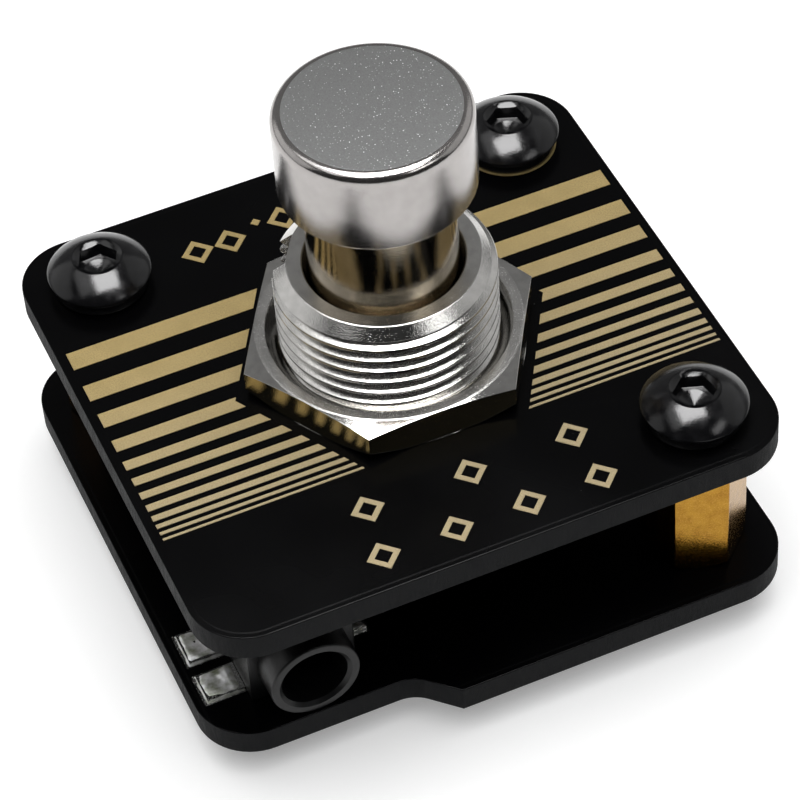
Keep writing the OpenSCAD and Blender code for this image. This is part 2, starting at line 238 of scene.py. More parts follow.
def block(low, high):
    """Box mesh between two corners."""
    bm = bmesh.new()
    bmesh.ops.create_cube(bm, size=1)
    size = Vector(high) - Vector(low)
    middle = (Vector(high) + Vector(low)) / 2
    bmesh.ops.scale(bm, vec=size, verts=bm.verts)
    bmesh.ops.translate(bm, vec=middle, verts=bm.verts)
    mesh = bpy.data.meshes.new("block")
    bm.to_mesh(mesh)
    bm.free()
    return mesh


def moved(mesh, place, turn=0.0, tilt=None):
    """Copy of a mesh turned about Z, then tilted, then moved."""
    copy = mesh.copy()
    matrix = Matrix.Translation(place)
    if tilt is not None:
        matrix = matrix @ tilt
    copy.transform(matrix @ Matrix.Rotation(turn, 4, "Z"))
    return copy


def joined(meshes):
    """One mesh holding several separate shells."""
    bm = bmesh.new()
    for m in meshes:
        bm.from_mesh(m)
    mesh = bpy.data.meshes.new("group")
    bm.to_mesh(mesh)
    bm.free()
    return mesh


def worked(mesh, *steps):
    """Mesh after a list of modifiers: ("bevel", width, segments, degrees) or
    ("union" | "cut" | "keep", other mesh)."""
    scene = bpy.context.scene
    obj = bpy.data.objects.new("work", mesh)
    scene.collection.objects.link(obj)
    tools = []
    for step in steps:
        if step[0] == "bevel":
            m = obj.modifiers.new("bevel", "BEVEL")
            m.width, m.segments = step[1], step[2]
            m.limit_method = "ANGLE"
            m.angle_limit = math.radians(step[3])
            continue
        tool = bpy.data.objects.new("tool", step[1])
        scene.collection.objects.link(tool)
        tools.append(tool)
        m = obj.modifiers.new(step[0], "BOOLEAN")
        m.operation = {"union": "UNION", "cut": "DIFFERENCE", "keep": "INTERSECT"}[step[0]]
        m.solver = "EXACT"
        m.object = tool
    bpy.context.view_layer.update()
    result = bpy.data.meshes.new_from_object(
        obj.evaluated_get(bpy.context.evaluated_depsgraph_get())
    )
    for o in [obj, *tools]:
        bpy.data.objects.remove(o)
    return result


def plate(outline, holes, low, high, bevel):
    """Flat plate with holes from point lists, its edges rounded by bevel."""
    curve = bpy.data.curves.new("plate", "CURVE")
    curve.dimensions = "2D"
    curve.fill_mode = "BOTH"
    for points in [outline, *holes]:
        spline = curve.splines.new("POLY")
        spline.points.add(len(points) - 1)
        for p, (x, y) in zip(spline.points, points):
            p.co = (x, y, 0, 1)
        spline.use_cyclic_u = True
    curve.extrude = (high - low) / 2 - bevel
    curve.bevel_depth = bevel
    curve.bevel_resolution = 2
    curve.offset = -bevel
    obj = bpy.data.objects.new("plate", curve)
    bpy.context.scene.collection.objects.link(obj)
    bpy.context.view_layer.update()
    made = bpy.data.meshes.new_from_object(
        obj.evaluated_get(bpy.context.evaluated_depsgraph_get())
    )
    bpy.data.objects.remove(obj)
    bm = bmesh.new()
    bm.from_mesh(made)
    bmesh.ops.remove_doubles(bm, verts=bm.verts, dist=1e-4)
    bmesh.ops.recalc_face_normals(bm, faces=bm.faces)
    bmesh.ops.translate(bm, vec=(0, 0, (low + high) / 2), verts=bm.verts)
    bm.to_mesh(made)
    bm.free()
    return made


def rounded_outline(x0, y0, x1, y1, r, steps=14):
    """Point list of a rectangle with round corners, anticlockwise."""
    corners = (
        (x1 - r, y0 + r, -90),
        (x1 - r, y1 - r, 0),
        (x0 + r, y1 - r, 90),
        (x0 + r, y0 + r, 180),
    )
    return [p for cx, cy, a in corners for p in arc(cx, cy, r, a, a + 90, steps)]


def round_hole(x, y, r, n=48):
    """Point list of a round hole."""
    return [(x + r * math.cos(TAU * i / n), y + r * math.sin(TAU * i / n)) for i in range(n)]


# ---------------------------------------------------------------- materials


class Look:
    """A node material around one Principled shader. Lengths in it are millimetres."""

    def __init__(self, name, color, rough, metal=0.0, specular=0.5):
        self.material = bpy.data.materials.new(name)
        self.material.use_nodes = True
        self.tree = self.material.node_tree
        self.shader = self.tree.nodes["Principled BSDF"]
        self.shader.inputs["Base Color"].default_value = (*color, 1)
        self.shader.inputs["Roughness"].default_value = rough
        self.shader.inputs["Metallic"].default_value = metal
        self.shader.inputs["Specular IOR Level"].default_value = specular
        place = self.tree.nodes.new("ShaderNodeTexCoord")
        self.place = self.vector("SCALE", place.outputs["Object"], scale=1 / MM)

    def link(self, source, target):
        if isinstance(source, (int, float, tuple)):
            target.default_value = source
        else:
            self.tree.links.new(source, target)

    def vector(self, operation, a, b=None, scale=None):
        node = self.tree.nodes.new("ShaderNodeVectorMath")
        node.operation = operation
        self.link(a, node.inputs[0])
        if b is not None:
            self.link(b, node.inputs[1])
        if scale is not None:
            node.inputs["Scale"].default_value = scale
        return node.outputs["Value" if operation in ("LENGTH", "DISTANCE") else "Vector"]

    def math(self, operation, a, b=0.0):
        node = self.tree.nodes.new("ShaderNodeMath")
        node.operation = operation
        self.link(a, node.inputs[0])
        self.link(b, node.inputs[1])
        return node.outputs[0]

    def axis(self, name):
        node = self.tree.nodes.new("ShaderNodeSeparateXYZ")
        self.link(self.place, node.inputs[0])
        return node.outputs[name]

    def noise(self, scale, detail=3.0, stretch=(1, 1, 1), rough=0.5):
        """Noise from 0 to 1 with about scale waves to the millimetre."""
        node = self.tree.nodes.new("ShaderNodeTexNoise")
        self.link(self.vector("MULTIPLY", self.place, stretch), node.inputs["Vector"])
        node.inputs["Scale"].default_value = scale
        node.inputs["Detail"].default_value = detail
        node.inputs["Roughness"].default_value = rough
        return node.outputs["Fac"]

    def specks(self, per_mm, size, share):
        """1 on round specks of that size, in millimetres, and 0 elsewhere."""
        node = self.tree.nodes.new("ShaderNodeTexVoronoi")
        self.link(self.place, node.inputs["Vector"])
        node.inputs["Scale"].default_value = per_mm
        near = self.remap(node.outputs["Distance"], size * per_mm, size * per_mm * 0.5, 0, 1)
        chosen = self.math("GREATER_THAN", self.split(node.outputs["Color"], 0), 1 - share)
        return self.math("MULTIPLY", near, chosen)

    def split(self, color, channel):
        node = self.tree.nodes.new("ShaderNodeSeparateColor")
        self.link(color, node.inputs[0])
        return node.outputs[channel]

    def remap(self, value, low, high, to_low, to_high):
        node = self.tree.nodes.new("ShaderNodeMapRange")
        self.link(value, node.inputs["Value"])
        node.inputs["From Min"].default_value = low
        node.inputs["From Max"].default_value = high
        node.inputs["To Min"].default_value = to_low
        node.inputs["To Max"].default_value = to_high
        return node.outputs["Result"]

    def mix(self, factor, a, b):
        node = self.tree.nodes.new("ShaderNodeMix")
        node.data_type = "RGBA"
        self.link(factor, node.inputs["Factor"])
        for value, key in ((a, "A"), (b, "B")):
            socket = [s for s in node.inputs if s.name == key and s.type == "RGBA"][0]
            self.link((*value, 1) if isinstance(value, tuple) else value, socket)
        return [s for s in node.outputs if s.type == "RGBA"][0]

    def color(self, value):
        self.link(value, self.shader.inputs["Base Color"])

    def rough(self, value):
        self.link(value, self.shader.inputs["Roughness"])

    def bump(self, height, depth):
        """Relief: height is 0 to 1 and stands depth millimetres tall."""
        node = self.tree.nodes.new("ShaderNodeBump")
        node.inputs["Strength"].default_value = 1.0
        node.inputs["Distance"].default_value = depth * MM
        self.link(height, node.inputs["Height"])
        last = self.shader.inputs["Normal"]
        if last.is_linked:
            self.tree.links.new(last.links[0].from_socket, node.inputs["Normal"])
        self.tree.links.new(node.outputs["Normal"], last)


def board_relief(look, depth):
    """Edge of the copper under the mask, 0.35 mm inside a board's outline."""
    half = (BOARD_W / 2 - CORNER_R, depth / 2 - CORNER_R, 1000.0)
    p = look.vector("ABSOLUTE", look.place)
    p = look.vector("SUBTRACT", p, half)
    p = look.vector("MAXIMUM", p, (0, 0, 0))
    away = look.math("SUBTRACT", look.vector("LENGTH", p), CORNER_R)
    return look.remap(away, -0.40, -0.30, 1, 0)


def solder_mask(name, depth=None):
    """Gloss black mask: orange peel, faint weave, a few specks of dust."""
    look = Look(name, (0.0007, 0.0007, 0.0009), 0.26, specular=0.09)
    dust = look.specks(0.6, 0.03, 0.4)
    cloud = look.noise(0.12, 2)
    look.color(look.mix(dust, (0.0006, 0.0006, 0.0008), (0.16, 0.16, 0.15)))
    gloss = look.remap(cloud, 0.3, 0.7, 0.2, 0.3)
    look.rough(look.math("ADD", gloss, look.math("MULTIPLY", dust, 0.6)))
    look.bump(look.noise(1.1, 2), 0.004)
    look.bump(look.noise(9.0, 2), 0.002)
    if depth:
        look.bump(board_relief(look, depth), 0.012)
    return look.material


def laminate_edge():
    """Routed edge of black glass-epoxy: fine upright marks and pale fibres."""
    look = Look("laminate_edge", (0.01, 0.01, 0.01), 0.6, specular=0.08)
    marks = look.noise(7.0, 4, (1, 1, 0.16), 0.65)
    grain = look.noise(14.0, 3, (1, 1, 1), 0.7)
    both = look.math("MULTIPLY", marks, grain)
    grey = look.remap(both, 0.15, 0.4, 0, 1)
    look.color(look.mix(grey, (0.001, 0.0012, 0.0015), (0.009, 0.0095, 0.0105)))
    look.rough(look.remap(marks, 0.3, 0.7, 0.45, 0.75))
    look.bump(both, 0.05)
    return look.material


def gold_print():
    """Matte immersion gold over etched copper, paler towards the front where a sheen is painted in."""
    look = Look("gold_print", (0.7, 0.55, 0.3), 0.5, 0.45)
    grain = look.noise(13.0, 3)
    patches = look.noise(0.8, 2)
    tone = look.mix(look.remap(patches, 0.3, 0.7, 0, 1), (0.29, 0.215, 0.085), (0.33, 0.245, 0.1))
    # Paler and greyer towards the front: a painted sheen, light that the gold catches there, not a change
    # in the print.
    pale = look.remap(look.axis("Y"), 5, -7, 0, 0.8)
    tone = look.mix(pale, tone, (0.27, 0.225, 0.145))
    look.color(look.mix(look.remap(grain, 0.4, 0.7, 0, 0.6), tone, (0.2, 0.15, 0.06)))
    look.rough(look.remap(grain, 0.3, 0.7, 0.45, 0.6))
    look.bump(grain, 0.006)
    return look.material


def black_oxide():
    """Blackened steel with oil-dark highlights and slightly worn patches."""
    look = Look("black_oxide", (0.006, 0.006, 0.007), 0.18, 0.0, specular=0.38)
    grain = look.noise(10.0, 4)
    wear = look.noise(1.6, 3)
    worn = look.remap(wear, 0.45, 0.8, 0, 1)
    look.color(look.mix(worn, (0.003, 0.003, 0.0035), (0.008, 0.008, 0.009)))
    look.rough(look.remap(wear, 0.3, 0.7, 0.1, 0.2))
    look.bump(grain, 0.005)
    return look.material


def brass():
    """Drawn hexagon brass: fine grain with faint long marks, slight tarnish."""
    look = Look("drawn_brass", (0.5, 0.25, 0.03), 0.2, 1.0)
    streak = look.noise(9.0, 3, (1, 1, 0.08))
    grain = look.noise(11.0, 3, (1, 1, 0.6))
    tarnish = look.noise(1.4, 4)
    tone = look.mix(look.remap(tarnish, 0.35, 0.75, 0, 1), (0.38, 0.2, 0.024), (0.27, 0.125, 0.013))
    bright = look.remap(look.noise(13.0, 2), 0.45, 0.75, 0, 0.7)
    look.color(look.mix(bright, tone, (0.5, 0.27, 0.06)))
    look.rough(look.remap(grain, 0.3, 0.7, 0.14, 0.26))
    look.bump(streak, 0.001)
    look.bump(grain, 0.008)
    return look.material


def nickel(name, low, high, grain_depth, color=(0.66, 0.65, 0.62), satin_z=None):
    """Nickel plate over a turned or pressed surface, satin on the flat above satin_z."""
    look = Look(name, color, (low + high) / 2, 1.0)
    grain = look.noise(14.0, 3)
    cloud = look.noise(1.2, 3)
    dark = tuple(c * 0.85 for c in color)
    look.color(look.mix(look.remap(cloud, 0.35, 0.7, 0, 1), color, dark))
    gloss = look.remap(grain, 0.3, 0.7, low, high)
    if satin_z:
        flat = look.math("GREATER_THAN", look.axis("Z"), satin_z)
        gloss = look.math("ADD", gloss, look.math("MULTIPLY", flat, 0.16))
    look.rough(gloss)
    look.bump(grain, grain_depth)
    return look.material


def cap_chrome():
    """Satin chrome sides and a grey blasted top face inside the lip, its glitter painted in as white
    specks.
    """
    look = Look("cap_chrome", (0.48, 0.46, 0.45), 0.16, 1.0)
    flat_r = CAP_R - CAP_LIP
    here = look.vector("MULTIPLY", look.place, (1, 1, 0))
    inside = look.math("LESS_THAN", look.vector("LENGTH", here), flat_r)
    high = look.math("GREATER_THAN", look.axis("Z"), cap_high.z - 0.02)
    face = look.math("MULTIPLY", inside, high)
    cloud = look.noise(1.5, 3)
    grain = look.noise(16.0, 3)
    # Painted glints: white specks in the top face's colour stand in for the sparkle of the blasted
    # surface.
    glitter = look.math("MULTIPLY", look.specks(5.5, 0.035, 0.2), 0.7)
    glitter = look.math("ADD", glitter, look.math("MULTIPLY", look.specks(9.0, 0.03, 0.25), 0.3))
    blasted = look.mix(look.remap(grain, 0.3, 0.7, 0, 1), (0.12, 0.12, 0.12), (0.165, 0.167, 0.165))
    blasted = look.mix(glitter, blasted, (1.0, 1.0, 1.0))
    sides = look.mix(look.remap(cloud, 0.3, 0.7, 0, 1), (0.43, 0.41, 0.40), (0.39, 0.37, 0.36))
    look.color(look.mix(face, sides, blasted))
    satin = look.remap(grain, 0.3, 0.7, 0.12, 0.2)
    dull = look.remap(grain, 0.3, 0.7, 0.45, 0.58)
    look.rough(look.math("ADD", satin, look.math("MULTIPLY", face, look.math("SUBTRACT", dull, satin))))
    look.bump(look.math("MULTIPLY", grain, look.remap(face, 0, 1, 0.35, 1)), 0.012)
    return look.material


def plain_plastic(name, color, rough, grain_depth=0.006, specular=0.5):
    """Moulded plastic with a fine grain and uneven gloss."""
    look = Look(name, color, rough, specular=specular)
    grain = look.noise(6.0, 4)
    cloud = look.noise(0.7, 2)
    darker = tuple(c * 0.7 for c in color)
    look.color(look.mix(look.remap(cloud, 0.3, 0.7, 0, 1), color, darker))
    look.rough(look.remap(grain, 0.3, 0.7, rough - 0.08, rough + 0.08))
    look.bump(grain, grain_depth)
    return look.material


def solder_metal():
    """Reflowed solder: bright, lumpy, with dull flux patches."""
    look = Look("reflowed_solder", (0.75, 0.76, 0.78), 0.4, 0.6)
    lumps = look.noise(1.6, 3)
    fine = look.noise(7.0, 3)
    look.color(look.mix(look.remap(lumps, 0.42, 0.68, 0, 1), (0.8, 0.8, 0.8), (0.26, 0.28, 0.2)))
    look.rough(look.remap(fine, 0.3, 0.7, 0.3, 0.5))
    look.bump(lumps, 0.04)
    look.bump(fine, 0.006)
    return look.material


MASK_TOP = solder_mask("solder_mask_top", TOP_D)
MASK_BOTTOM = solder_mask("solder_mask_bottom", BOTTOM_D)
EDGE = laminate_edge()
GOLD = gold_print()
OXIDE = black_oxide()
BRASS = brass()
NICKEL = nickel("nickel_plate", 0.04, 0.09, 0.011, (0.6, 0.59, 0.57), bush_high.z - 0.03)
# Nickel for the nut's upright sides, tinted amber: a painted reflection of the gold print, not the nut's
# own colour.
NUT_SIDE_GOLD_REFLECTION = nickel("nut_side_nickel_painted_gold_reflection", 0.09, 0.15, 0.009, (0.46, 0.395, 0.24))
NUT_NICKEL = nickel("nut_nickel", 0.06, 0.12, 0.003, (0.6, 0.59, 0.57), nut_high.z - 0.03)
# Chrome for the plunger, tinted warm brown: a painted reflection of the gold print around it.
PLUNGER_GOLD_REFLECTION_CHROME = nickel("plunger_chrome_painted_gold_reflection", 0.03, 0.06, 0.005, (0.44, 0.385, 0.3))
CAP = cap_chrome()
BLACK_PLASTIC = plain_plastic("moulded_black", (0.003, 0.003, 0.0033), 0.36, specular=0.28)
RUBBER = plain_plastic("foot_rubber", (0.02, 0.02, 0.02), 0.75, 0.015)
PHENOLIC = plain_plastic("phenolic_board", (0.22, 0.12, 0.06), 0.55)
NYLON = plain_plastic("nylon", (0.72, 0.71, 0.66), 0.4)
TIN = nickel("tinned_strip", 0.15, 0.3, 0.004, (0.78, 0.78, 0.76))
COPPER = nickel("bare_copper", 0.15, 0.3, 0.004, (0.8, 0.42, 0.25))
SPRING = nickel("spring_wire", 0.2, 0.35, 0.004, (0.5, 0.5, 0.5))
SOLDER = solder_metal()


def dress(node, material):
    """Puts a material on a CAD node that keeps its own shape."""
    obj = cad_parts[node]
    for i in range(len(obj.material_slots)):
        obj.material_slots[i].material = material


def place_piece(mesh, name, node, body, slot, *materials, smooth=30, pick=None):
    """A millimetre mesh as a visible piece that stands for a CAD node."""
    mesh.materials.clear()
    for m in materials:
        mesh.materials.append(m)
    if pick:
        for face in mesh.polygons:
            face.material_index = pick(face)
    obj = finish_mesh(mesh, name, smooth)
    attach(obj, body)
    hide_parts(node)
    return obj


# ---------------------------------------------------------------- boards


def on_the_side(face):
    """Boards show mask on their faces and the rounded lip, laminate on the edge."""
    return 0 if abs(face.normal.z) > 0.35 else 1


def upright(face):
    """1 for the faces of a piece that stand upright."""
    return 1 if abs(face.normal.z) < 0.1 else 0


def top_board():
    """Upper board, with round corners and holes for the screws and the bush."""
    outline = rounded_outline(top_low.x, top_low.y, top_high.x, top_high.y, CORNER_R)
    holes = [round_hole(x, y, SCREW_HOLE_R) for x, y in SCREW_PLACES]
    holes.append(round_hole(0, 0, THREAD_R + 0.15, 96))
    mesh = plate(outline, holes, top_low.z, top_high.z, BOARD_BEVEL)
    place_piece(
        mesh, "top_circuit_board", "top_board", "key_base", "solder_mask", MASK_TOP, EDGE, pick=on_the_side
    )


def bottom_outline():
    """The front edge steps back at the left, with a hollow curve and a sharp corner."""
    x0, x1 = bottom_low.x, bottom_high.x
    front, back = bottom_low.y, bottom_high.y
    inner = front + SETBACK
    slope_x = SETBACK_CORNER_X - SETBACK
    tangent = SETBACK_R * math.tan(math.radians(22.5))
    r = CORNER_R
    points = arc(x0 + r, inner + r, r, 180, 270, 14)
    points += arc(slope_x - tangent, inner - SETBACK_R, SETBACK_R, 90, 45, 8)
    points.append((SETBACK_CORNER_X, front))
    points += arc(x1 - r, front + r, r, -90, 0, 14)
    points += arc(x1 - r, back - r, r, 0, 90, 14)
    points += arc(x0 + r, back - r, r, 90, 180, 14)
    return points


def slot_hole(x, y, w, h):
    """Point list of a square-cornered slot."""
    x0, x1, y0, y1 = x - w / 2, x + w / 2, y - h / 2, y + h / 2
    return [(x0, y0), (x1, y0), (x1, y1), (x0, y1)]


def bottom_board():
    """Lower board, with holes for the screws, the switch terminals and the jack's pegs."""
    holes = [round_hole(x, y, SCREW_HOLE_R) for x, y in SCREW_PLACES]
    holes += [slot_hole(x, 0, 2.0, 0.9) for x in (-TERMINAL_X, TERMINAL_X)]
    jack_front = jack_low.y + COLLAR_L
    holes += [round_hole(JACK_X, y, 0.65, 24) for y in (jack_front + 2, jack_high.y - 1.5)]
    mesh = plate(bottom_outline(), holes, bottom_low.z, bottom_high.z, BOARD_BEVEL)
    place_piece(
        mesh,
        "bottom_circuit_board",
        "bottom_board",
        "key_base",
        "solder_mask",
        MASK_BOTTOM,
        EDGE,
        pick=on_the_side,
    )


# ---------------------------------------------------------------- fasteners


def button_screw(length):
    """Button head screw, head on z = 0 and shank below, with a hexagon socket."""
    rim_z, flat_r = HEAD_RIM_Z, HEAD_FLAT_R
    dome_z = (flat_r**2 + HEAD_H**2 - HEAD_R**2 - rim_z**2) / 2 / (HEAD_H - rim_z)
    dome_r = math.hypot(HEAD_R, rim_z - dome_z)
    start = math.degrees(math.atan2(rim_z - dome_z, HEAD_R)) + 0.8
    end = math.degrees(math.atan2(HEAD_H - dome_z, flat_r))
    profile = [(SHANK_R - 0.25, -length), (SHANK_R, -length + 0.3), (SHANK_R, 0)]
    profile += [(HEAD_BASE_R - 0.08, 0), (HEAD_BASE_R, 0.05), (HEAD_BASE_R + 0.02, rim_z - 0.42)]
    profile.append((HEAD_R - 0.05, rim_z - 0.17))
    profile += [(HEAD_R - 0.01, rim_z - 0.12), (HEAD_R, rim_z - 0.06), (HEAD_R - 0.005, rim_z - 0.01)]
    profile += arc(0, dome_z, dome_r, start, end, 14)
    loops = [circle(r, z) for r, z in profile]
    rim = SOCKET_AF / 2 / math.cos(math.pi / 6)
    loops += [circle(flat_r - 0.05, HEAD_H - 0.01), circle(rim + 0.1, HEAD_H - 0.12)]
    loops += [hexagon(SOCKET_AF, HEAD_H - 0.2), hexagon(SOCKET_AF, HEAD_H - 0.98)]
    loops += [circle(0.85, HEAD_H - 1.0), circle(0.8, HEAD_H - 1.02), circle(0.03, HEAD_H - 1.4)]
    return worked(loft(loops), ("bevel", 0.025, 2, 40))


def screws():
    """Three screws from above, turned as in the key, and three from below."""
    length = HEAD_H - (screws_high.z - screws_low.z)
    screw = button_screw(-length)
    z = screws_high.z - HEAD_H
    group = [
        moved(screw, (x, y, z), math.radians(t)) for (x, y), t in zip(SCREW_PLACES, SCREW_TURNS)
    ]
    place_piece(
        joined(group), "upper_button_screws", "top_screws", "key_base", "black_steel", OXIDE, smooth=28
    )
    flip = Matrix.Rotation(math.pi, 4, "X")
    z = under_low.z + HEAD_H
    group = [moved(screw, (x, y, z), 0.4, flip) for x, y in SCREW_PLACES]
    place_piece(
        joined(group), "lower_button_screws", "bottom_screws", "key_base", "black_steel", OXIDE, smooth=28
    )


def standoffs():
    """Hexagon standoffs with turned bevels at both ends."""
    af = STANDOFF_AF
    end_r = 2.38
    bore_r = 1.5
    height = standoffs_high.z - standoffs_low.z
    rise = 0.3 / (af / 2 / math.cos(math.pi / 6) - end_r)
    low = hexagon(af, lambda r: max(0.02, (r - end_r) * rise))
    high = hexagon(af, lambda r: height - max(0.02, (r - end_r) * rise))
    loops = [circle(bore_r, 0.2), circle(bore_r + 0.2, 0), circle(end_r, 0), low, high]
    loops += [circle(end_r, height), circle(bore_r + 0.2, height), circle(bore_r, height - 0.2)]
    one = worked(loft(loops, ring=True), ("bevel", 0.05, 3, 25))
    group = [moved(one, (x, y, standoffs_low.z), STANDOFF_TURN) for x, y in SCREW_PLACES]
    place_piece(joined(group), "brass_standoffs", "standoffs", "key_base", "brass", BRASS, smooth=25)


def feet():
    """Stick-on rubber feet with a rounded lower edge."""
    r = FOOT_R
    h = feet_high.z - feet_low.z
    profile = [(0, 0), (r - 1.4, 0), *arc(r - 0.9, 0.9, 0.9, -90, 0, 8)]
    profile += [(r, h - 0.05), (r - 0.05, h), (0, h)]
    one = lathe(profile, 96)
    xs, ys = feet_high.x - r, feet_high.y - r
    group = [moved(one, (x, y, feet_low.z)) for x in (-xs, xs) for y in (-ys, ys)]
    place_piece(joined(group), "rubber_feet", "feet", "key_base", "rubber", RUBBER)


# ---------------------------------------------------------------- push button


def thread_profile(phase):
    """Height of the thread, 0 at the root and 1 at the crest, over one pitch."""
    phase %= 1
    for (a, ha), (b, hb) in zip(THREAD_FORM, THREAD_FORM[1:]):
        if a <= phase <= b:
            return ha + (hb - ha) * (phase - a) / (b - a)
    return 1


def threaded_rod(low, high, n=128):
    """Solid rod with one helical thread cut in it. Towards the front left, where the
    thread has turned front_turn, a crest ends at THREAD_Z."""
    crest_end, front_turn = 0.12, (270 - 20.4) / 360
    start = THREAD_Z - PITCH * (crest_end + front_turn)
    start -= PITCH * math.ceil((start - low) / PITCH)
    rows = [phase for phase, _ in THREAD_FORM[:-1]]
    per = len(rows)
    turns = math.ceil((high - low) / PITCH) + 3
    count = per * turns
    verts = []
    for j in range(count + per):
        for i in range(n):
            raw = start + PITCH * (j // per + rows[j % per] + i / n - 1)
            z = min(max(raw, low), high)
            r = THREAD_R - THREAD_DEPTH * (1 - thread_profile((z - start) / PITCH - i / n + 1))
            a = TAU * i / n
            verts.append((r * math.cos(a), r * math.sin(a), z))
    faces = []
    for j in range(count - 1):
        for i in range(n - 1):
            faces.append((j * n + i, j * n + i + 1, (j + 1) * n + i + 1, (j + 1) * n + i))
        last, first = j * n + n - 1, (j + per) * n
        faces.append((last, first, first + n, last + n))
    return verts, faces


def threaded_mesh(low, high):
    """The threaded rod as a closed mesh, its flattened ends filled."""
    verts, faces = threaded_rod(low, high)
    bm = bmesh.new()
    points = [bm.verts.new(v) for v in verts]
    for f in faces:
        bm.faces.new([points[i] for i in f])
    bmesh.ops.remove_doubles(bm, verts=bm.verts, dist=1e-4)
    bmesh.ops.dissolve_degenerate(bm, edges=bm.edges, dist=1e-4)
    loose = [v for v in bm.verts if not v.link_faces]
    bmesh.ops.delete(bm, geom=loose, context="VERTS")
    open_edges = [e for e in bm.edges if len(e.link_faces) == 1]
    bmesh.ops.holes_fill(bm, edges=open_edges, sides=0)
    bmesh.ops.recalc_face_normals(bm, faces=bm.faces)
    mesh = bpy.data.meshes.new("thread")
    bm.to_mesh(mesh)
    bm.free()
    return mesh


def bush():
    """Threaded bush: real helical thread, bevelled end, bore, flange under the board."""
    top, low = bush_high.z, bush_low.z
    flange_top = low + FLANGE_H
    bevel_z = top - RIM_BEVEL
    slope = (THREAD_R - RIM_R) / RIM_BEVEL
    floor_z = top - MOUTH_H
    limit = lathe(
        [
            (BORE_R, low + 0.1),
            (THREAD_R + 1, low + 0.1),
            (THREAD_R + 1, bevel_z - 1 / slope),
            (RIM_R + 0.018, top - 0.018),
            (RIM_R - 0.03, top),
            (MOUTH_R + 0.07, top),
            (MOUTH_R, top - 0.06),
            (BORE_R, floor_z),
        ],
        160,
    )
    flange_r = bush_high.x
    flange = lathe(
        [
            (BORE_R, low),
            (flange_r - 0.1, low),
            (flange_r, low + 0.1),
            (flange_r, flange_top - 0.1),
            (flange_r - 0.1, flange_top),
            (BORE_R, flange_top),
        ],
        160,
    )
    groove = block((KEY_FLOOR_R, -KEY_W / 2, top_high.z + 0.1), (THREAD_R + 1, KEY_W / 2, top + 1))
    groove.transform(Matrix.Rotation(KEY_TURN, 4, "Z"))
    body = threaded_mesh(low - 1, top + 1)
    mesh = worked(body, ("keep", limit), ("union", flange), ("cut", groove))
    place_piece(mesh, "threaded_bush", "bush", "key_base", "nickel", NICKEL, smooth=12)


def nut():
    """Hexagon nut: shallow corner bevels above, steeper below, chamfered bore."""
    h = nut_high.z - nut_low.z
    top_slope = math.tan(math.radians(15))
    low_slope = math.tan(math.radians(30))
    top_r = NUT_AF / 2 - 0.1
    low_r = NUT_AF / 2 + 0.15
    bore = THREAD_R + 0.03
    loops = [circle(bore, 0.3), circle(bore + 0.3, 0), circle(low_r - 0.1, 0)]
    loops.append(hexagon(NUT_AF, lambda r: max(0.03, (r - low_r) * low_slope)))
    loops.append(hexagon(NUT_AF, lambda r: h - max(0.02, (r - top_r) * top_slope)))
    loops += [circle(top_r, h), circle(bore + 0.66, h), circle(bore, h - 0.55)]
    mesh = worked(loft(loops, ring=True), ("bevel", 0.06, 3, 11))
    mesh = moved(mesh, (0, 0, nut_low.z), NUT_TURN)
    # The upright sides take the amber nickel that carries the painted reflection of the gold print.
    place_piece(
        mesh,
        "bush_hexagon_nut",
        "bush_nut",
        "key_base",
        "nickel",
        NUT_NICKEL,
        NUT_SIDE_GOLD_REFLECTION,
        smooth=10,
        pick=upright,
    )


def button_cap():
    """Cap: blasted top, polished lip, small rounded lower edge, blind bore."""
    z0, z1 = cap_low.z, cap_high.z
    lip = CAP_LIP
    bore_r, bore_top = STUB_R + 0.02, z0 + 3.02
    profile = [(0, bore_top), (bore_r, bore_top), (bore_r, z0 + 0.1), (bore_r + 0.1, z0)]
    profile += [(CAP_R - 0.3, z0), *arc(CAP_R - 0.14, z0 + 0.14, 0.14, -80, 0, 5)]
    profile += [(CAP_R, z0 + 2), (CAP_R, z1 - lip - 0.3), *arc(CAP_R - lip, z1 - lip, lip, 0, 84, 12)]
    profile += [(CAP_R - lip - 0.12, z1), (CAP_R * 0.4, z1), (0, z1)]
    place_piece(lathe(profile, 160), "push_button_cap", "button_cap", "button", "chrome", CAP, smooth=35)


def plunger():
    """Plunger with the stub for the cap, clip groove and spring bore."""
    z0, z1 = plunger_low.z, plunger_high.z
    cap_z = cap_low.z
    groove_top = bush_low.z
    groove_low = groove_top - 0.55
    land_low = groove_low - 0.5
    spring_top = z0 + 8.5
    profile = [
        (0, spring_top),
        (2.4, spring_top),
        (2.4, z0 + 0.1),
        (2.5, z0),
        (STUB_R, z0),
        (STUB_R, land_low),
        (PLUNGER_R, land_low),
        (PLUNGER_R, groove_low),
        (3.4, groove_low),
        (3.4, groove_top),
        (PLUNGER_R - 0.08, groove_top),
        (PLUNGER_R, groove_top + 0.08),
        (PLUNGER_R, cap_z - 0.08),
        (PLUNGER_R - 0.08, cap_z),
        (STUB_R, cap_z),
        (STUB_R, z1 - 0.1),
        (STUB_R - 0.1, z1),
        (0, z1),
    ]
    # Its chrome carries a painted warm reflection of the gold print.
    place_piece(lathe(profile, 160), "button_plunger", "plunger", "button", "chrome", PLUNGER_GOLD_REFLECTION_CHROME)


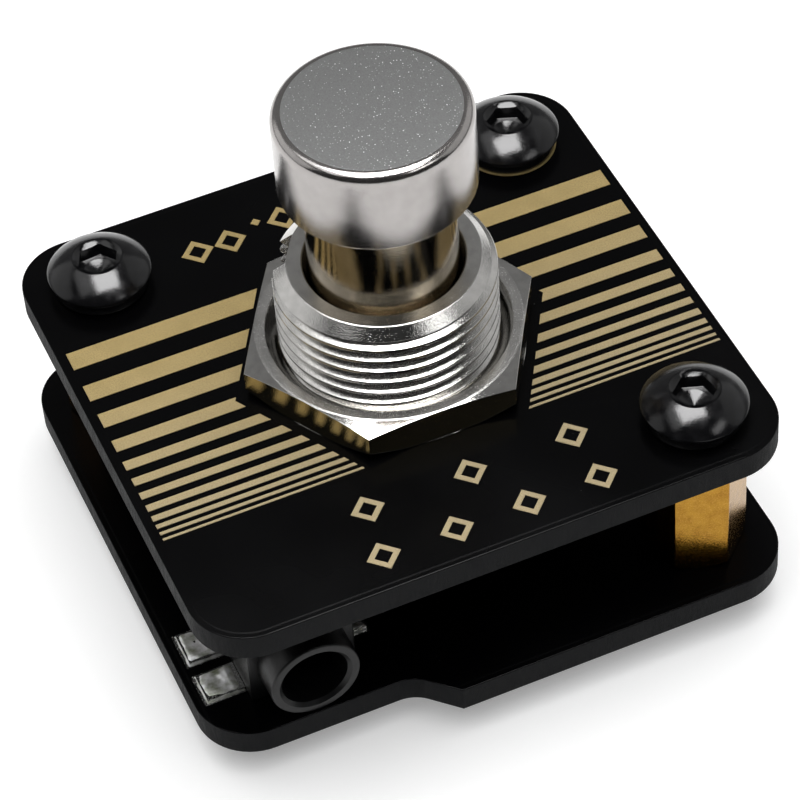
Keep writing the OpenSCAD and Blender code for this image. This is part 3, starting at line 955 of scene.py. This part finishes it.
def return_spring():
    """Coil spring in the plunger, given a mesh of its own."""
    coil = (spring_high.x - spring_low.x - WIRE_D) / 2
    pitch = (spring_high.z - spring_low.z - WIRE_D) / COIL_TURNS
    steps, sides = 28, 10
    rings = []
    for i in range(COIL_TURNS * steps + 1):
        a = TAU * i / steps
        out = Vector((math.cos(a), math.sin(a), 0))
        along = Vector((-math.sin(a), math.cos(a), pitch / (TAU * coil))).normalized()
        up = out.cross(along)
        middle = out * coil + Vector((0, 0, spring_low.z + WIRE_D / 2 + pitch * i / steps))
        turn = [TAU * k / sides for k in range(sides)]
        rings.append([middle + (out * math.cos(b) + up * math.sin(b)) * (WIRE_D / 2) for b in turn])
    obj = place_piece(loft(rings), "coil_spring", "return_spring", "key_base", "spring_steel", SPRING)
    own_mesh(obj)


def switch_housing():
    """Moulded switch body under the top board, hollow and open below."""
    low, high = housing_low, housing_high
    outer = plate(rounded_outline(low.x, low.y, high.x, high.y, 1.0), [], low.z, high.z, 0.12)
    cavity = block((low.x + 1, low.y + 1, low.z - 1), (high.x - 1, high.y - 1, high.z - 0.8))
    mouth = lathe([(0, low.z), (5.3, low.z), (5.3, high.z + 1), (0, high.z + 1)], 96)
    mesh = worked(outer, ("cut", cavity), ("cut", mouth))
    place_piece(mesh, "switch_body", "switch_housing", "key_base", "black_plastic", BLACK_PLASTIC)


# ---------------------------------------------------------------- jack


def along_y(mesh, y):
    """Turns a solid made along Z so that it runs along +Y from y, on the jack's axis."""
    mesh.transform(Matrix.Translation((JACK_X, y, JACK_Z)) @ Matrix.Rotation(-math.pi / 2, 4, "X"))
    return mesh


def jack():
    """Surface-mount jack: box, collar with a rounded lip, bore, contact slots."""
    front = jack_low.y + COLLAR_L
    z0 = bottom_high.z
    half = JACK_W / 2
    shell = worked(
        block((JACK_X - half, front, z0), (JACK_X + half, jack_high.y, z0 + JACK_H)),
        ("bevel", 0.12, 3, 30),
    )
    lip = 0.12
    collar = [(0, 0), (COLLAR_R - lip, 0), *arc(COLLAR_R - lip, lip, lip, -90, 0, 5)]
    collar += [(COLLAR_R, COLLAR_L + 0.5), (0, COLLAR_L + 0.5)]
    bore = [(0, -1), (PLUG_R + 1.2, -1), (PLUG_R + 0.2, 0), (PLUG_R, 0.2), (PLUG_R, 3.5)]
    bore += [(PLUG_R + 0.25, 3.5), (PLUG_R + 0.25, 10.8), (0, 10.8)]
    steps = [("union", along_y(lathe(collar, 96), jack_low.y))]
    steps.append(("cut", along_y(lathe(bore, 96), jack_low.y)))
    for side, y, w, _ in JACK_STRIPS:
        y0, y1 = y - w / 2 - 0.05, y + w / 2 + 0.05
        x_in = half - 0.45
        x0, x1 = sorted((JACK_X + side * 1.2, JACK_X + side * x_in))
        steps.append(("cut", block((x0, y0, z0 + 0.35), (x1, y1, z0 + JACK_H / 2 + 1.2))))
        x0, x1 = sorted((JACK_X + side * (x_in - 0.5), JACK_X + side * (half + 1)))
        steps.append(("cut", block((x0, y0, z0 - 1), (x1, y1, z0 + 0.37))))
    for y in (front + 2, jack_high.y - 1.5):
        peg = lathe([(0, -1.2), (0.5, -1.2), (0.6, -1.1), (0.6, 0.3), (0, 0.3)], 32)
        steps.append(("union", moved(peg, (JACK_X, y, z0))))
    mesh = worked(shell, *steps)
    place_piece(
        mesh, "plug_jack_body", "jack_body", "key_base", "black_plastic", BLACK_PLASTIC, smooth=28
    )


# side of the body (-1 is left), middle in Y, width, length of the tab
JACK_STRIPS = ((-1, -9.93, 1.85, 2.15), (-1, -7.05, 2.1, 2.1), (1, -9.1, 1.6, 1.3))


def solder_mound(side, y, w, length):
    """Uneven solder that wets a tab and runs down onto its pad."""
    z0 = bottom_high.z + 0.03
    half = JACK_W / 2
    start = half + 0.05
    nx, ny = 44, 36
    verts, faces = [], []
    for i in range(nx + 1):
        for j in range(ny + 1):
            u, v = i / nx, j / ny
            ragged = 0.12 * noise.noise(Vector((u * 5, side * 4.0, y)))
            x = start + u * (length + 0.1 * noise.noise(Vector((v * 4, y, 2.0))))
            yy = y + (v - 0.5) * (w + 0.15 + ragged)
            edge = min(1, min(u * 4, (1 - u) * 9)) ** 0.5 * min(1, min(v, 1 - v) * 7) ** 0.5
            swell = 0.34 - 0.12 * u + 0.09 * noise.noise(Vector((x * 1.1, yy * 1.1, side * 3.1)))
            ripple = 0.02 * noise.noise(Vector((x * 3.5, yy * 3.5, 9.0)))
            z = z0 + max(0.015, edge * (swell + ripple))
            verts.append((JACK_X + side * x, yy, z))
    across = ny + 1
    for i in range(nx):
        for j in range(ny):
            a = i * across + j
            faces.append((a, a + 1, a + across + 1, a + across))
    top = len(verts)
    rim = [i * across for i in range(nx + 1)] + [nx * across + j for j in range(1, ny + 1)]
    rim += [i * across + ny for i in range(nx - 1, -1, -1)] + [j for j in range(ny - 1, 0, -1)]
    verts += [(verts[k][0], verts[k][1], z0 - 0.02) for k in rim]
    for k in range(len(rim)):
        m = (k + 1) % len(rim)
        faces.append((rim[k], rim[m], top + m, top + k))
    faces.append(tuple(top + k for k in range(len(rim))))
    return mesh_from(verts, faces)


def jack_solder():
    """Solder on the jack's three tabs."""
    group = [solder_mound(*strip) for strip in JACK_STRIPS]
    place_piece(joined(group), "jack_tab_solder", "jack_solder", "key_base", "solder", SOLDER, smooth=60)


def terminal_solder():
    """Cone of solder round each switch terminal under the board."""
    z = bottom_low.z
    profile = [(0, -0.85), (0.55, -0.83), (0.8, -0.7), (1.0, -0.42), (1.25, -0.16), (1.6, 0), (0, 0)]
    cone = lathe([(r, z + h) for r, h in profile], 64)
    group = []
    for x in (-TERMINAL_X, TERMINAL_X):
        one = moved(cone, (x, 0, 0))
        for v in one.vertices:
            v.co.z += 0.04 * noise.noise(v.co * 1.7) if v.co.z < z - 0.01 else 0
        group.append(one)
    place_piece(
        joined(group), "switch_terminal_solder", "terminal_solder", "key_base", "solder", SOLDER, smooth=60
    )


top_board()
bottom_board()
screws()
standoffs()
feet()
bush()
nut()
button_cap()
plunger()
switch_housing()
jack()
jack_solder()
terminal_solder()
return_spring()

for cad_node, look in {
    "gold_bars": GOLD,
    "gold_marks": GOLD,
    "screw_pads": GOLD,
    "switch_base": PHENOLIC,
    "terminals": TIN,
    "retaining_clip": SPRING,
    "contact_carrier": NYLON,
    "contact_ring": COPPER,
    "jack_tip_spring": TIN,
    "jack_ring_spring": TIN,
    "jack_sleeve_contact": TIN,
    "jack_pads": TIN,
}.items():
    dress(cad_node, look)


# ---------------------------------------------------------------- stage, light, camera


def floor():
    """Pale matte table top, wide enough to run out of every view."""
    look = Look("table_top", (0.9, 0.9, 0.9), 0.85)
    look.color(look.mix(look.noise(0.02, 2), (0.9, 0.9, 0.9), (0.88, 0.88, 0.88)))
    look.shader.inputs["Emission Color"].default_value = (1, 1, 1, 1)
    look.shader.inputs["Emission Strength"].default_value = 0.3
    mesh = bpy.data.meshes.new("table_top")
    s = 1.5
    mesh.from_pydata([(-s, -s, 0), (s, -s, 0), (s, s, 0), (-s, s, 0)], [], [(0, 1, 2, 3)])
    mesh.materials.append(look.material)
    obj = bpy.data.objects.new("table_top", mesh)
    bpy.context.scene.collection.objects.link(obj)


def softbox(name, azimuth, elevation, distance, width, height, radiance, lights):
    """Area light of even radiance that faces the key; azimuth as for the views. It is
    left out of the reflections ("matte") or seen only in them ("gloss")."""
    a, e = math.radians(azimuth), math.radians(elevation)
    back = Vector((math.sin(a) * math.cos(e), -math.cos(a) * math.cos(e), math.sin(e)))
    light = bpy.data.lights.new(name, "AREA")
    light.shape = "RECTANGLE"
    light.size, light.size_y = width, height
    light.energy = radiance * math.pi * width * height
    obj = bpy.data.objects.new(name, light)
    obj.location = Vector((0, 0, 0.015)) + back * distance
    obj.rotation_mode = "QUATERNION"
    obj.rotation_quaternion = (-back).to_track_quat("-Z", "Y")
    obj.visible_glossy = lights == "gloss"
    obj.visible_diffuse = lights == "matte"
    bpy.context.scene.collection.objects.link(obj)


def surroundings(front, back):
    """Plain grey studio, dimmer on the camera's side than behind the key."""
    world = bpy.data.worlds.new("studio")
    world.use_nodes = True
    tree = world.node_tree
    shade = tree.nodes["Background"]
    place = tree.nodes.new("ShaderNodeTexCoord")
    across = tree.nodes.new("ShaderNodeVectorMath")
    across.operation = "DOT_PRODUCT"
    across.inputs[1].default_value = (0.34, 0.94, 0)
    ramp = tree.nodes.new("ShaderNodeMapRange")
    ramp.interpolation_type = "SMOOTHSTEP"
    for key, value in {"From Min": -0.4, "From Max": 0.5, "To Min": front, "To Max": back}.items():
        ramp.inputs[key].default_value = value
    tree.links.new(place.outputs["Generated"], across.inputs[0])
    tree.links.new(across.outputs["Value"], ramp.inputs["Value"])
    tree.links.new(ramp.outputs["Result"], shade.inputs["Strength"])
    shade.inputs["Color"].default_value = (1, 1, 1, 1)
    bpy.context.scene.world = world


def camera():
    """Long lens from the front left, looking down at the top board's middle."""
    azimuth, elevation, roll = -20.37, 47.05, -4.45
    distance, across, up = 190.8, 0.49, -2.87
    a, e, t = (math.radians(v) for v in (azimuth, elevation, roll))
    back = Vector((math.sin(a) * math.cos(e), -math.cos(a) * math.cos(e), math.sin(e)))
    level = Vector((math.cos(a), math.sin(a), 0))
    rise = back.cross(level)
    right = math.cos(t) * level + math.sin(t) * rise
    upward = -math.sin(t) * level + math.cos(t) * rise
    place = Vector((0, 0, top_high.z)) + back * distance + right * across + upward * up
    lens = bpy.data.cameras.new("camera")
    lens.sensor_width = 36
    lens.lens = 160.2
    lens.clip_start, lens.clip_end = 0.01, 10
    obj = bpy.data.objects.new("camera", lens)
    turn = Matrix((right, upward, back)).transposed().to_4x4()
    obj.matrix_world = Matrix.Translation(place * MM) @ turn
    bpy.context.scene.collection.objects.link(obj)
    bpy.context.scene.camera = obj


floor()
surroundings(0.04, 0.22)
# name, azimuth, elevation, distance, width, height, radiance, what it lights
softbox("fill", -20, 88, 0.9, 1.2, 1.2, 2.6, "matte")
softbox("lamp", -5, 85, 0.12, 0.083, 0.07, 18, "gloss")
softbox("left_top", -105, 62, 0.5, 0.42, 0.18, 1.5, "gloss")
softbox("left_wall", -124, 25, 0.5, 0.56, 0.34, 0.62, "gloss")
softbox("right_wall", 90, 30, 0.5, 0.6, 0.35, 0.42, "gloss")
softbox("right", 34, 44, 0.5, 0.2, 0.08, 3.2, "gloss")
camera()
bpy.context.scene.view_settings.view_transform = "Standard"
